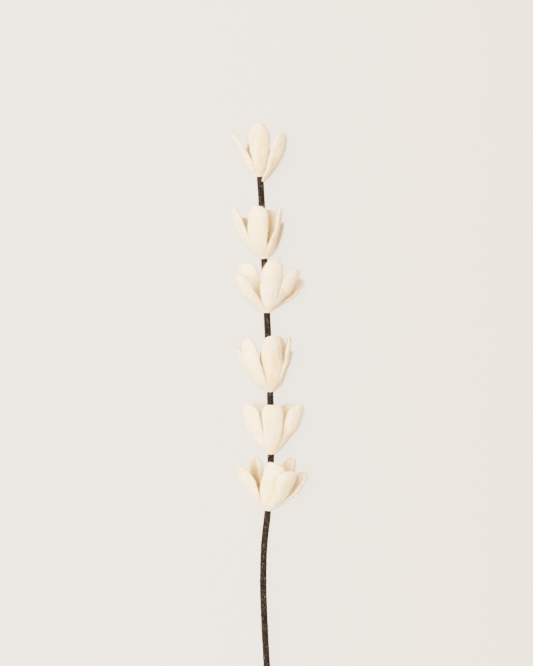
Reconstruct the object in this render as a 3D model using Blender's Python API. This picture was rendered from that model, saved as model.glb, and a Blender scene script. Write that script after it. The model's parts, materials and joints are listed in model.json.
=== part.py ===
"""Felt broom-flower spray: six cream felt blossoms threaded on a stiff, yarn-wound stem, lying on a surface.

The stem runs along Y with its cut end at -Y, the surface is z = 0, and the fullest side of the blossoms
faces +Z. The origin is the middle of the spray's footprint on the surface.
"""
import math

import bmesh
import bpy
import numpy as np

MM = 0.001            # millimetres to metres

# ---- construction sizes, millimetres and degrees --------------------------
STEM_R = 2.5          # outside radius of the yarn sheath
SHEATH_BORE_R = 1.25  # bore of the sheath
WIRE_R = 0.9          # steel core wire
WIRE_PROUD = 1.2      # how far the wire stands out of the sheath at the cut end
PETAL_ALONG, PETAL_ROUND = 12, 8    # facets of a petal, along it and round it
STEM_STEPS, STEM_SIDES = 60, 10     # facets of the stem
STEM_KNOTS = (        # centreline of the stem, tip of the spray first
    (-6.2, 244.3, 19), (-4.75, 221.8, 19), (-2.6, 176, 19),
    (-0.55, 134, 19), (1.8, 76.3, 19), (2.5, 38, 19),
    (1.5, 6.5, 18.9), (0.05, -13.5, 18.7), (-2.6, -38.5, 18),
    (-3.35, -70, 16.3), (-2, -107, 13.4), (-0.7, -131, 11.5),
    (1.7, -183, 7.4), (3.2, -228, 4.3), (3.6, -273, 2.56))
FELT_T = 2.8          # felt thickness in the free part of a petal
FOOT_T = 0.5          # felt thickness where a petal thins out onto the stem
FOOT_GAP = 0.2        # clearance between sheath and petal foot
SEAM = 0.34           # gap between two neighbouring petals at the foot
FOOT_ANGLE = 30       # angle between a petal's lowest part and the stem
BOUND_LEN = 1.2       # length of that part
SURFACE_Z = 0.0       # height of the surface that the spray lies on


def petal(name, sector, length, width, lean, tip_lean, foot_lean=48, swing=0, twist=0, cup=12, wide=0.64, free=0,
          waist=1.5, drop=0, blunt=2.2):
    """One felt petal: its sector round the stem (degrees, 0 up from the surface, 90 to the right), size in mm,
    the angle at which it leaves the stem low down and at its tip, sideways swing, twist, cup radius, the place
    of its widest part, how far (mm) its upper part may reach past its sector, how full it is below that (less
    is slimmer), how much lower (mm) its foot sits, and how square its tip is."""
    return dict(name=name, lo=sector[0], hi=sector[1], length=length, width=width, lean=lean, tip_lean=tip_lean,
                foot_lean=foot_lean, swing=swing, twist=twist, cup=cup, wide=wide, free=free,
                waist=waist, drop=drop, blunt=blunt)


BLOSSOMS = (
    dict(foot_y=237.2, petals=(
        petal("front", (-31, 39), 41.6, 17.0, 22, 11, 42, swing=-0.5, free=3, waist=0.9, wide=0.72),
        petal("right", (39, 98), 40.0, 15.2, 30.0, 10.5, 43, twist=-20, drop=4.0, waist=2.6, free=0.6),
        petal("back_right", (98, 172), 24.0, 15.0, 22, 10, 42),
        petal("back_left", (172, 244), 36.8, 12.5, 22, 6, 42, swing=-19),
        petal("left", (244, 329), 38.0, 14.0, 22, 22, 32, cup=20, waist=2.0, swing=-3, wide=0.42, blunt=1.7),
    )),
    dict(foot_y=176, petals=(
        petal("front", (-54, 14), 43.0, 17.4, 26, 7, 42, swing=9, cup=11, free=3, blunt=2.6),
        petal("right", (14, 90), 40.5, 17.0, 23, 3, 38, twist=48),
        petal("low_right", (90, 144), 30.5, 13.0, 28, 10, 40, twist=-18),
        petal("back", (144, 196), 41.5, 15.0, 30, 12, 44, swing=-7, twist=20),
        petal("back_left", (196, 248), 38.0, 15.0, 32, 14, 44),
        petal("left", (248, 306), 44.5, 14.3, 33, 1, 40, twist=14),
    )),
    dict(foot_y=135.6, petals=(
        petal("front", (-14, 50), 42.6, 17.8, 21, 10, 40, swing=5, free=0.8, waist=1.9),
        petal("right", (50, 98), 38.5, 12.8, 37, 26, 44, twist=-32),
        petal("low_right", (98, 146), 38.4, 16.4, 58, 30, 61, twist=20),
        petal("back", (146, 192), 37.0, 15.0, 34, 16, 46, swing=-5),
        petal("high_left", (198, 270), 44.2, 19.4, 27, 13.5, 42, swing=-12, free=6, twist=-60),
        petal("left", (270, 346), 38.0, 15.6, 46, 16, 49, swing=-0.5, twist=6),
    )),
    dict(foot_y=76.2, petals=(
        petal("left", (-76, -14), 47.5, 14.6, 36, 4, 50, swing=5.2, twist=12, waist=2.4),
        petal("front", (-14, 44), 45.8, 17.8, 19, 12, 40, swing=-4.2, free=3, waist=1.8, blunt=2.7, twist=5),
        petal("right", (44, 98), 43.5, 14.5, 19, 2, 40, twist=24),
        petal("low_right", (98, 142), 34.5, 13.0, 27, 14, 46, twist=-26),
        petal("back", (142, 230), 46.0, 21.0, 25, 10, 44, swing=-20),
        petal("far_left", (230, 284), 41.0, 14.0, 36, 18, 46, twist=24),
    )),
    dict(foot_y=29.4, petals=(
        petal("front", (-28, 36), 41.8, 17.2, 23, 11, 40, wide=0.78, free=2, blunt=2.8, swing=-1),
        petal("right", (36, 102), 43.0, 18.0, 31, 9, 42, twist=-26, wide=0.68),
        petal("back_right", (102, 178), 41.5, 18.0, 25, 9, 42, twist=5),
        petal("back_left", (178, 252), 42.0, 16.0, 26, 9, 42, swing=-4, twist=-32),
        petal("left", (252, 332), 42.0, 18.6, 29, 6, 42, twist=22, wide=0.76, swing=5, blunt=2.6, waist=2.2),
    )),
    dict(foot_y=-12.6, petals=(
        petal("front", (-28, 12), 41.2, 16.5, 19, 9, 40, swing=14, free=4, waist=1.0, blunt=3.8),
        petal("front_right", (12, 68), 39.0, 21.0, 34, 12, 52, wide=0.6, twist=-4),
        petal("right", (68, 120), 39.0, 17.5, 41, 17, 54, twist=24),
        petal("back_right", (120, 180), 45.0, 11.8, 32, 13, 44, swing=-9, twist=20),
        petal("back_left", (180, 250), 42.5, 10.8, 31, 9, 42, swing=1, twist=-34),
        petal("left", (250, 324), 39.5, 18.0, 38, 25, 48, twist=18),
    )),
)


def smooth(x):
    x = np.clip(x, 0.0, 1.0)
    return x * x * (3.0 - 2.0 * x)


def eased(x, xs, ys):
    """Value at x of a curve through the points (xs, ys), eased between each pair."""
    x = np.asarray(x, float)
    out = np.full(x.shape, float(ys[0]))
    for x0, x1, y0, y1 in zip(xs[:-1], xs[1:], ys[:-1], ys[1:]):
        out = out + (y1 - y0) * smooth((x - x0) / (x1 - x0))
    return out


def stem_points(n):
    """n points along the stem, evenly spaced, by a Catmull-Rom curve through the knots."""
    k = np.array(STEM_KNOTS, float)
    k = np.vstack([2 * k[0] - k[1], k, 2 * k[-1] - k[-2]])
    fine = []
    for i in range(1, len(k) - 2):
        p0, p1, p2, p3 = k[i - 1], k[i], k[i + 1], k[i + 2]
        d = np.linalg.norm(p2 - p1)
        m1 = (p2 - p0) * d / (np.linalg.norm(p1 - p0) + d)
        m2 = (p3 - p1) * d / (d + np.linalg.norm(p3 - p2))
        for t in np.linspace(0, 1, 40, endpoint=False):
            fine.append((2 * t**3 - 3 * t**2 + 1) * p1 + (t**3 - 2 * t**2 + t) * m1
                        + (-2 * t**3 + 3 * t**2) * p2 + (t**3 - t**2) * m2)
    fine.append(k[-2])
    fine = np.array(fine)
    run = np.concatenate([[0], np.cumsum(np.linalg.norm(np.diff(fine, axis=0), axis=1))])
    at = np.linspace(0, run[-1], n)
    return np.stack([np.interp(at, run, fine[:, j]) for j in range(3)], axis=1)


def unit(v):
    return v / np.linalg.norm(v)


def blossom_frame(foot_y):
    """Foot point on the stem, and the unit vectors along it, up from the surface and to the right."""
    p = stem_points(1200)
    i = int(np.argmin(np.abs(p[:, 1] - foot_y)))
    lo, hi = max(0, i - 14), min(len(p) - 1, i + 6)
    along = unit(p[lo] - p[hi])
    up = np.array([0.0, 0.0, 1.0])
    up = unit(up - along * up.dot(along))
    return p[i], along, up, np.cross(along, up)


def petal_sections(frame, p, stations, lean_cut=0.0):
    """Centre, width direction, outward normal, half width, half thickness and cup radius of each cross-section."""
    foot, along, up, right = frame
    foot = foot - along * p["drop"]
    length = p["length"]
    az = math.radians((p["lo"] + p["hi"]) / 2)
    out_dir = up * math.cos(az) + right * math.sin(az)
    side = -up * math.sin(az) + right * math.cos(az)
    half_sector = math.radians((p["hi"] - p["lo"]) / 2)
    fine = np.linspace(0, 1, 240)
    u = fine * length
    theta = np.radians(eased(u, (0, BOUND_LEN, 7.0, 15.0, length * 1.08),
                             (FOOT_ANGLE, FOOT_ANGLE + 3, p["foot_lean"] - 0.5 * lean_cut, p["lean"] - lean_cut,
                              p["tip_lean"] - 0.8 * lean_cut)))
    phi = np.radians(p["swing"]) * smooth((fine - 0.12) / 0.6)
    tangent = (np.cos(theta) * np.cos(phi))[:, None] * along \
        + (np.sin(theta) * np.cos(phi))[:, None] * out_dir + np.sin(phi)[:, None] * side
    step = length / (len(fine) - 1)
    r0 = STEM_R + FOOT_GAP + FOOT_T / 2
    centre = foot + out_dir * r0 + np.concatenate(
        [np.zeros((1, 3)), np.cumsum((tangent[1:] + tangent[:-1]) / 2, axis=0) * step])
    wide_dir = side - tangent * (tangent @ side)[:, None]
    wide_dir /= np.linalg.norm(wide_dir, axis=1)[:, None]
    normal = np.cross(wide_dir, tangent)
    tw = np.radians(p["twist"]) * smooth((fine - 0.12) / 0.55)
    wide_dir, normal = (wide_dir * np.cos(tw)[:, None] - normal * np.sin(tw)[:, None],
                        normal * np.cos(tw)[:, None] + wide_dir * np.sin(tw)[:, None])
    radius = np.maximum((centre - foot) @ out_dir, 0.5)
    round_foot = radius / np.cos(theta)
    cup = 17.0 + (p["cup"] - 17.0) * smooth((fine - 0.25) / 0.5)
    bend = (round_foot**-5.0 + cup**-5.0) ** -0.2
    half = p["width"] / 2
    w = 3.4 + (half - 3.4) * (1 - np.clip(1 - fine / p["wide"], 0, 1) ** p["waist"])
    w = w * np.clip(1 - np.clip((fine - p["wide"]) / (1 - p["wide"]), 0, 1) ** p["blunt"], 0, 1) ** (1 / p["blunt"])
    # the widest that leaves the neighbouring sector clear
    v = np.linspace(0.05, 14, 200)[None, :]
    b = bend[:, None]
    turn = np.minimum(v / b, 1.5)
    lateral = b * np.sin(turn)
    radial = radius[:, None] - np.cos(theta)[:, None] * b * (1 - np.cos(turn))
    seen = np.arctan2(lateral, np.maximum(radial, 0.01)) + SEAM / 2 / np.maximum(np.hypot(radial, lateral), 0.5)
    limit = np.where((seen > half_sector).any(axis=1), v[0][np.argmax(seen > half_sector, axis=1)], 14.0)
    limit = limit + p["free"] * smooth((fine - 0.22) / 0.3)
    w = (np.maximum(w, 1e-3) ** -16.0 + limit ** -16.0) ** (-1 / 16.0)
    t = FOOT_T + (FELT_T - FOOT_T) * smooth((u + 0.6) / 7.5)
    end = 1 - 3.2 / length
    t = t * np.clip(1 - np.clip((fine - end) / (1 - end), 0, 1) ** 2.4, 0, 1) ** (1 / 2.4)
    at = np.asarray(stations)

    def pick(a):
        if a.ndim == 1:
            return np.interp(at, fine, a)
        return np.stack([np.interp(at, fine, a[:, j]) for j in range(a.shape[1])], axis=1)
    return pick(centre), pick(wide_dir), pick(normal), pick(w), pick(t) / 2, pick(bend)


def station_list(length, n):
    """n places from foot to tip: close together on the foot and towards the tip."""
    foot = np.array([0.0, 0.8, 1.6, 2.8, 5.0]) / length
    x = np.linspace(0, 1, n - len(foot) + 1)[1:]
    return np.concatenate([foot, foot[-1] + (1 - foot[-1]) * (0.25 * x + 0.75 * np.sin(x * np.pi / 2))])


def petal_mesh(frame, p, n_along, n_round, lean_cut=0.0):
    """Points and faces of the closed felt petal."""
    s_in = station_list(p["length"], n_along + 1)[:-1]
    c, wd, nm, hw, ht, bend = petal_sections(frame, p, s_in, lean_cut)
    a = np.linspace(0, 2 * np.pi, n_round, endpoint=False)
    ca, sa = np.cos(a), np.sin(a)
    v = hw[:, None] * (np.sign(ca) * np.abs(ca) ** 0.86)[None, :]
    n = ht[:, None] * (np.sign(sa) * np.abs(sa) ** 0.72)[None, :]
    ang = v / bend[:, None]
    lateral = bend[:, None] * np.sin(ang)
    inward = bend[:, None] * (1 - np.cos(ang))
    pts = (c[:, None, :] + wd[:, None, :] * (lateral + n * np.sin(ang))[:, :, None]
           + nm[:, None, :] * (-inward + n * np.cos(ang))[:, :, None])
    tip = petal_sections(frame, p, np.array([1.0]), lean_cut)[0][0]
    verts = np.vstack([pts.reshape(-1, 3), pts[0].mean(axis=0)[None], tip[None]])
    m, rows = n_round, len(s_in)
    faces = []
    for i in range(rows - 1):
        for j in range(m):
            k = (j + 1) % m
            faces.append((i * m + j, (i + 1) * m + j, (i + 1) * m + k, i * m + k))
    for j in range(m):
        k = (j + 1) % m
        faces.append((rows * m, j, k))
        faces.append((rows * m + 1, (rows - 1) * m + k, (rows - 1) * m + j))
    return verts, faces


def settled(frame, p):
    """How many degrees a petal on the underside gives way so that it just rests on the surface."""
    if petal_mesh(frame, p, 13, 16)[0][:, 2].min() >= SURFACE_Z:
        return 0.0
    low, high = 0.0, 30.0
    for _ in range(14):
        mid = (low + high) / 2
        if petal_mesh(frame, p, 13, 16, mid)[0][:, 2].min() < SURFACE_Z:
            low = mid
        else:
            high = mid
    return high


def clear_scene():
    for ob in list(bpy.data.objects):
        bpy.data.objects.remove(ob, do_unlink=True)


def material(name, colour, roughness, metallic=0.0):
    mat = bpy.data.materials.new(name)
    mat.use_nodes = True
    shader = mat.node_tree.nodes["Principled BSDF"]
    shader.inputs["Base Color"].default_value = (*colour, 1.0)
    shader.inputs["Roughness"].default_value = roughness
    shader.inputs["Metallic"].default_value = metallic
    return mat


def add_object(name, verts, faces, mat):
    mesh = bpy.data.meshes.new(name)
    mesh.from_pydata([tuple(float(c) * MM for c in v) for v in verts], [], faces)
    bm = bmesh.new()
    bm.from_mesh(mesh)
    bmesh.ops.recalc_face_normals(bm, faces=bm.faces)
    bm.to_mesh(mesh)
    bm.free()
    mesh.shade_smooth()
    mesh.set_sharp_from_angle(angle=math.radians(50))
    mesh.materials.append(mat)
    ob = bpy.data.objects.new(name, mesh)
    bpy.context.scene.collection.objects.link(ob)
    return ob


def line_frames(points):
    """Unit vectors along, to the side of and above a gently curved line."""
    along = np.gradient(points, axis=0)
    along /= np.linalg.norm(along, axis=1)[:, None]
    side = np.cross(along, [0.0, 0.0, 1.0])
    side /= np.linalg.norm(side, axis=1)[:, None]
    return along, side, np.cross(side, along)


def rings(points, radius, sides):
    _, side, up = line_frames(points)
    a = np.linspace(0, 2 * np.pi, sides, endpoint=False)
    return points[:, None, :] + radius * (side[:, None, :] * np.cos(a)[None, :, None]
                                          + up[:, None, :] * np.sin(a)[None, :, None])


def rod(name, points, radius, sides, mat):
    v = rings(points, radius, sides)
    n, m = v.shape[:2]
    faces = [(i * m + j, i * m + (j + 1) % m, (i + 1) * m + (j + 1) % m, (i + 1) * m + j)
             for i in range(n - 1) for j in range(m)]
    faces.append(tuple(range(m)))
    faces.append(tuple((n - 1) * m + j for j in reversed(range(m))))
    return add_object(name, v.reshape(-1, 3), faces, mat)


def tube(name, points, inner, outer, sides, mat):
    a, b = rings(points, outer, sides), rings(points, inner, sides)
    n, m = a.shape[:2]
    off = n * m
    faces = []
    for i in range(n - 1):
        for j in range(m):
            k = (j + 1) % m
            faces.append((i * m + j, i * m + k, (i + 1) * m + k, (i + 1) * m + j))
            faces.append((off + i * m + j, off + (i + 1) * m + j, off + (i + 1) * m + k, off + i * m + k))
    for j in range(m):
        k = (j + 1) % m
        faces.append((j, off + j, off + k, k))
        e = (n - 1) * m
        faces.append((e + j, e + k, off + e + k, off + e + j))
    return add_object(name, np.vstack([a.reshape(-1, 3), b.reshape(-1, 3)]), faces, mat)


def main():
    clear_scene()
    steel = material("steel", (0.42, 0.41, 0.40), 0.35, 1.0)
    yarn = material("brown_yarn", (0.050, 0.027, 0.018), 0.9)
    felt = material("cream_felt", (0.93, 0.78, 0.645), 0.95)

    line = stem_points(STEM_STEPS)
    wire = line.copy()
    wire[-1] += unit(line[-1] - line[-2]) * WIRE_PROUD
    wire[0] += unit(line[1] - line[0]) * 0.8
    rod("stem_wire", wire, WIRE_R, 8, steel)
    tube("stem_wrap", line, SHEATH_BORE_R, STEM_R, STEM_SIDES, yarn)

    for number, blossom in enumerate(BLOSSOMS, 1):
        frame = blossom_frame(blossom["foot_y"])
        for p in blossom["petals"]:
            verts, faces = petal_mesh(frame, p, PETAL_ALONG, PETAL_ROUND, settled(frame, p))
            add_object("blossom_%d_petal_%s" % (number, p["name"]), verts, faces, felt)


main()
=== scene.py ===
"""Looks of the felt broom-flower spray: thick wool-felt petals round a yarn-wound stem, lying on a pale floor.

Sizes below are in millimetres and degrees, in the frame of the CAD model: +Y runs up the spray, +Z up from the floor.
"""

import json
import math

import bpy
import numpy as np
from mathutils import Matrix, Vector

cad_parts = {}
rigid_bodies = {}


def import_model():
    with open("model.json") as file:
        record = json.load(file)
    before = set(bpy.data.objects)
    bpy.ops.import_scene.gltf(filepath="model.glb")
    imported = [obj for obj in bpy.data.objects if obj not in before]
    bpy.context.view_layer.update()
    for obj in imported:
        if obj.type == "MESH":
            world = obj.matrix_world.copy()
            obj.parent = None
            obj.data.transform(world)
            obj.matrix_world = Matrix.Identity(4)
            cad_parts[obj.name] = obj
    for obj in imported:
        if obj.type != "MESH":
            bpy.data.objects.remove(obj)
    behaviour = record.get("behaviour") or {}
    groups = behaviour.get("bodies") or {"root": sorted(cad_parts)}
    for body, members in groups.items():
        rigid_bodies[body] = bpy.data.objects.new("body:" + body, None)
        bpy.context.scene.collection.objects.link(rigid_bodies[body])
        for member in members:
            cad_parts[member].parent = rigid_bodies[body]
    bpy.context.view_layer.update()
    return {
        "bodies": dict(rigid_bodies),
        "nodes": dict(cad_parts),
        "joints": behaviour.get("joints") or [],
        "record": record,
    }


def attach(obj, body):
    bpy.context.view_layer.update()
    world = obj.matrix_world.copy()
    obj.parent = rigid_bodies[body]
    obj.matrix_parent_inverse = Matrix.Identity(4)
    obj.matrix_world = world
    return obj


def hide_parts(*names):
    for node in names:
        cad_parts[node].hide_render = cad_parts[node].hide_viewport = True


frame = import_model()

MM = 0.001

# ---- the spray's construction, as in the CAD -------------------------------
STEM_R = 2.5          # outside radius of the yarn sheath
WIRE_R = 0.9          # steel core wire
FELT_T = 2.8          # felt thickness in the free part of a petal
FOOT_T = 0.5          # felt thickness where it is fixed to the stem
FOOT_GAP = 0.2        # clearance between sheath and petal foot
FOOT_ANGLE = 30       # how steeply the bound foot opens, in degrees
BOUND_LEN = 1.2       # length of the foot that is fixed to the stem
WIRE_PROUD = 1.2      # how far the wire stands out of the sheath at the cut end
STEM_KNOTS = (        # centreline of the stem, tip of the spray first
    (-6.2, 244.3, 19), (-4.75, 221.8, 19), (-2.6, 176, 19),
    (-0.55, 134, 19), (1.8, 76.3, 19), (2.5, 38, 19),
    (1.5, 6.5, 18.9), (0.05, -13.5, 18.7), (-2.6, -38.5, 18),
    (-3.35, -70, 16.3), (-2, -107, 13.4), (-0.7, -131, 11.5),
    (1.7, -183, 7.4), (3.2, -228, 4.3), (3.6, -273, 2.56))

# ---- the looks ---------------------------------------------------------------
RESTS_AT = 0.06       # a petal on the underside just rests on the floor
FLOOR_CLEAR = 0.02    # nothing reaches lower than this
PETAL_ROWS, PETAL_SIDES = 66, 56
OVERLAP = 3.0         # how far neighbouring petals press into each other at the foot
BOW = 0.5             # how far a petal bows out of its smooth line
NAP, FUZZ, STRAY = 1800, 620, 110   # stray fibres on each petal: stubble, short ones and long ones
YARN_R, YARN_PITCH = 0.55, 0.88
YARN_STEPS, YARN_SIDES = 16, 6
YARN_FIBRES = 3400

# colours, linear
FELT_PALE = (0.960, 0.842, 0.738)
FELT_DEEP = (0.918, 0.770, 0.632)
FELT_WARM = (0.850, 0.665, 0.500)
FELT_FIBRE = (0.985, 0.930, 0.870)
# painted shade on the inner faces, down in the throat of each blossom
FELT_THROAT_SHADE = (0.64, 0.45, 0.28)
THROAT_SHADE_SHARE = 0.75
FELT_CREASE_SHADE = (0.860, 0.610, 0.380)   # painted shade in its creases, folds and lengthwise streaks
CREASE_SHADE_SHARE = 0.60
FIBRE_COLOURS = ((0.97, 0.88, 0.79), (0.93, 0.80, 0.67), (0.84, 0.66, 0.49))
YARN_DARK = (0.010, 0.007, 0.005)
YARN_LIGHT = (0.050, 0.036, 0.029)
# painted highlights: light specks that stand for the sheen on the yarn's fibres
YARN_SPECK_HIGHLIGHT = (0.30, 0.262, 0.235)
YARN_FIBRE_COLOURS = ((0.070, 0.050, 0.040), (0.030, 0.020, 0.016), (0.30, 0.24, 0.20))
# the floor is painted lighter on the left, where the light comes from, and darker to the right: painted light falloff
FLOOR_LEFT = (0.961, 0.906, 0.811)
FLOOR_RIGHT = (0.907, 0.805, 0.705)
FLOOR_GLOW = 1.0      # brightness of the floor's own even light
FLOOR_EVEN = 0.90     # how much of the floor is even light, which keeps its shadows faint
SKY = (1.0, 0.89, 0.82)
SKY_LEVEL = 0.345
SKY_RIM = 1.0         # how bright it is at the horizon, as a share of overhead
SKY_FOCUS = 2.0        # how fast it fades away from overhead
WALL = (0.850, 0.785, 0.705)    # the pale studio wall all round, low down
WALL_TOP = (0.21, 0.30)         # where it ends, as the sine of the height over the horizon
SUN_LEVEL = 4.4
SUN_ANGLE = 48
SUN_COLOUR = (1.0, 0.85, 0.74)
SUN_FROM = (-0.34, 0.06, 0.93)
WHITE_AT = 3.48         # scene brightness that shows as white
RESPONSE_POWER = 1.45
RESPONSE_KNEE = 0.25
DEEPEN = (0.0, 0.04, 0.10)    # how much darker red, green and blue turn in the shadows


def petal(name, sector, length, width, lean, tip_lean, foot_lean=48, swing=0, twist=0, cup=12, wide=0.64, free=0,
          waist=1.5, drop=0, blunt=2.2, joined=15, deep=0, streak_shade=0.15, dark=0, tone=None):
    """One felt petal: its sector round the stem (degrees, 0 up from the surface, 90 to the right), size in mm,
    the angle at which it leaves the stem low down and at its tip, sideways swing, twist, cup radius, the place
    of its widest part, how far (mm) its upper part may reach past its sector, how soon it widens (a lower waist
    is slimmer below), how much lower (mm) its foot sits, how square its tip is, how far up (mm) it is felted to
    its neighbours, how much of its inner face takes the painted throat shade, how much painted shade it has in
    lengthwise streaks, and which half of the inner face takes that painted shade (1 or -1, more for a sharper
    edge, or 0 for both), and how warm its wool is (-1 to 1)."""
    return dict(name=name, lo=sector[0], hi=sector[1], length=length, width=width, lean=lean, tip_lean=tip_lean,
                foot_lean=foot_lean, swing=swing, twist=twist, cup=cup, wide=wide, free=free,
                waist=waist, drop=drop, blunt=blunt, joined=joined, deep=deep, streak_shade=streak_shade, dark=dark, tone=tone)


BLOSSOMS = (
    dict(foot_y=237.2, petals=(
        petal("front", (-31, 39), 41.6, 17.0, 22, 11, 42, swing=-0.5, free=3, waist=0.9, wide=0.72, joined=27, streak_shade=0.9, tone=1),
        petal("right", (39, 98), 40.0, 15.2, 30.0, 10.5, 43, twist=-20, drop=4.0, joined=30, waist=2.6, free=0.6),
        petal("back_right", (98, 172), 24.0, 15.0, 22, 10, 42),
        petal("back_left", (172, 244), 36.8, 12.5, 22, 6, 42, swing=-19, deep=0.8),
        petal("left", (244, 329), 38.0, 14.0, 22, 22, 32, cup=20, waist=2.0, swing=-3, joined=22, wide=0.42, blunt=1.7),
    )),
    dict(foot_y=176, petals=(
        petal("front", (-54, 14), 43.0, 17.4, 26, 7, 42, swing=9, cup=11, free=3, blunt=2.6),
        petal("right", (14, 90), 40.5, 17.0, 23, 3, 38, twist=48),
        petal("low_right", (90, 144), 30.5, 13.0, 28, 10, 40, twist=-18, deep=-1, tone=-1),
        petal("back", (144, 196), 41.5, 15.0, 30, 12, 44, swing=-7, twist=20, deep=1.0, dark=2),
        petal("back_left", (196, 248), 38.0, 15.0, 32, 14, 44, deep=1.0),
        petal("left", (248, 306), 44.5, 14.3, 33, 1, 40, twist=14),
    )),
    dict(foot_y=135.6, petals=(
        petal("front", (-14, 50), 42.6, 17.8, 21, 10, 40, swing=5, free=2, waist=1.9, joined=18, tone=-1),
        petal("right", (50, 98), 38.5, 12.8, 37, 26, 44, twist=-32, joined=24),
        petal("low_right", (98, 146), 38.4, 16.4, 58, 30, 61, deep=0.5, twist=20, joined=24),
        petal("back", (146, 192), 37.0, 15.0, 34, 16, 46, swing=-5),
        petal("high_left", (198, 270), 44.2, 19.4, 27, 13.5, 42, swing=-12, free=6, twist=-60, deep=-1, tone=-1),
        petal("left", (270, 346), 38.0, 15.6, 46, 16, 49, swing=-0.5, twist=6, joined=21, streak_shade=0.4, tone=-1),
    )),
    dict(foot_y=76.2, petals=(
        petal("left", (-76, -14), 47.5, 14.6, 36, 4, 50, swing=5.2, twist=12, joined=20, waist=2.4, streak_shade=0.3, tone=-1),
        petal("front", (-14, 44), 45.8, 17.8, 19, 12, 40, swing=-4.2, free=3, joined=20, waist=1.8, streak_shade=0.9, blunt=2.7, twist=5, tone=1),
        petal("right", (44, 98), 43.5, 14.5, 19, 2, 40, twist=24),
        petal("low_right", (98, 142), 34.5, 13.0, 27, 14, 46, twist=-26, deep=-1, tone=-1),
        petal("back", (142, 230), 46.0, 21.0, 25, 10, 44, swing=-20, deep=1.0),
        petal("far_left", (230, 284), 41.0, 14.0, 36, 18, 46, twist=24, deep=-1),
    )),
    dict(foot_y=29.4, petals=(
        petal("front", (-28, 36), 41.8, 17.2, 23, 11, 40, wide=0.78, free=2, blunt=2.8, swing=-1, joined=24),
        petal("right", (36, 102), 43.0, 18.0, 31, 9, 42, twist=-26, wide=0.68, joined=26),
        petal("back_right", (102, 178), 41.5, 18.0, 25, 9, 42, twist=5, deep=0.8),
        petal("back_left", (178, 252), 42.0, 16.0, 26, 9, 42, swing=-4, twist=-32, deep=-0.1),
        petal("left", (252, 332), 42.0, 18.6, 29, 6, 42, twist=22, wide=0.76, swing=5, blunt=2.6, waist=2.2, joined=24),
    )),
    dict(foot_y=-12.6, petals=(
        petal("front", (-28, 12), 41.2, 16.5, 19, 9, 40, swing=14, free=4, waist=1.0, blunt=3.8, streak_shade=1.0, tone=1),
        petal("front_right", (12, 68), 39.0, 21.0, 34, 12, 52, wide=0.6, twist=-4, streak_shade=0.5),
        petal("right", (68, 120), 39.0, 17.5, 41, 17, 54, twist=24, deep=0.6),
        petal("back_right", (120, 180), 45.0, 11.8, 32, 13, 44, swing=-9, twist=20, deep=0.6, dark=1),
        petal("back_left", (180, 250), 42.5, 10.8, 31, 9, 42, swing=1, twist=-34, deep=1.0, dark=1),
        petal("left", (250, 324), 39.5, 18.0, 38, 25, 48, twist=18),
    )),
)


def smooth(x):
    x = np.clip(x, 0.0, 1.0)
    return x * x * (3.0 - 2.0 * x)


def eased(x, xs, ys):
    """Value at x of a curve through the points (xs, ys), eased between each pair."""
    x = np.asarray(x, float)
    out = np.full(x.shape, float(ys[0]))
    for x0, x1, y0, y1 in zip(xs[:-1], xs[1:], ys[:-1], ys[1:]):
        out = out + (y1 - y0) * smooth((x - x0) / (x1 - x0))
    return out


def stem_points(n):
    """n points along the stem, evenly spaced, by a Catmull-Rom curve through the knots."""
    k = np.array(STEM_KNOTS, float)
    k = np.vstack([2 * k[0] - k[1], k, 2 * k[-1] - k[-2]])
    fine = []
    for i in range(1, len(k) - 2):
        p0, p1, p2, p3 = k[i - 1], k[i], k[i + 1], k[i + 2]
        d = np.linalg.norm(p2 - p1)
        m1 = (p2 - p0) * d / (np.linalg.norm(p1 - p0) + d)
        m2 = (p3 - p1) * d / (d + np.linalg.norm(p3 - p2))
        for t in np.linspace(0, 1, 40, endpoint=False):
            fine.append((2 * t**3 - 3 * t**2 + 1) * p1 + (t**3 - 2 * t**2 + t) * m1
                        + (-2 * t**3 + 3 * t**2) * p2 + (t**3 - t**2) * m2)
    fine.append(k[-2])
    fine = np.array(fine)
    run = np.concatenate([[0], np.cumsum(np.linalg.norm(np.diff(fine, axis=0), axis=1))])
    at = np.linspace(0, run[-1], n)
    return np.stack([np.interp(at, run, fine[:, j]) for j in range(3)], axis=1)


def unit(v):
    return v / np.linalg.norm(v)


def blossom_frame(foot_y):
    """Foot point on the stem, and the unit vectors along it, up from the surface and to the right."""
    p = stem_points(1200)
    i = int(np.argmin(np.abs(p[:, 1] - foot_y)))
    lo, hi = max(0, i - 14), min(len(p) - 1, i + 6)
    along = unit(p[lo] - p[hi])
    up = np.array([0.0, 0.0, 1.0])
    up = unit(up - along * up.dot(along))
    return p[i], along, up, np.cross(along, up)


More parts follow.
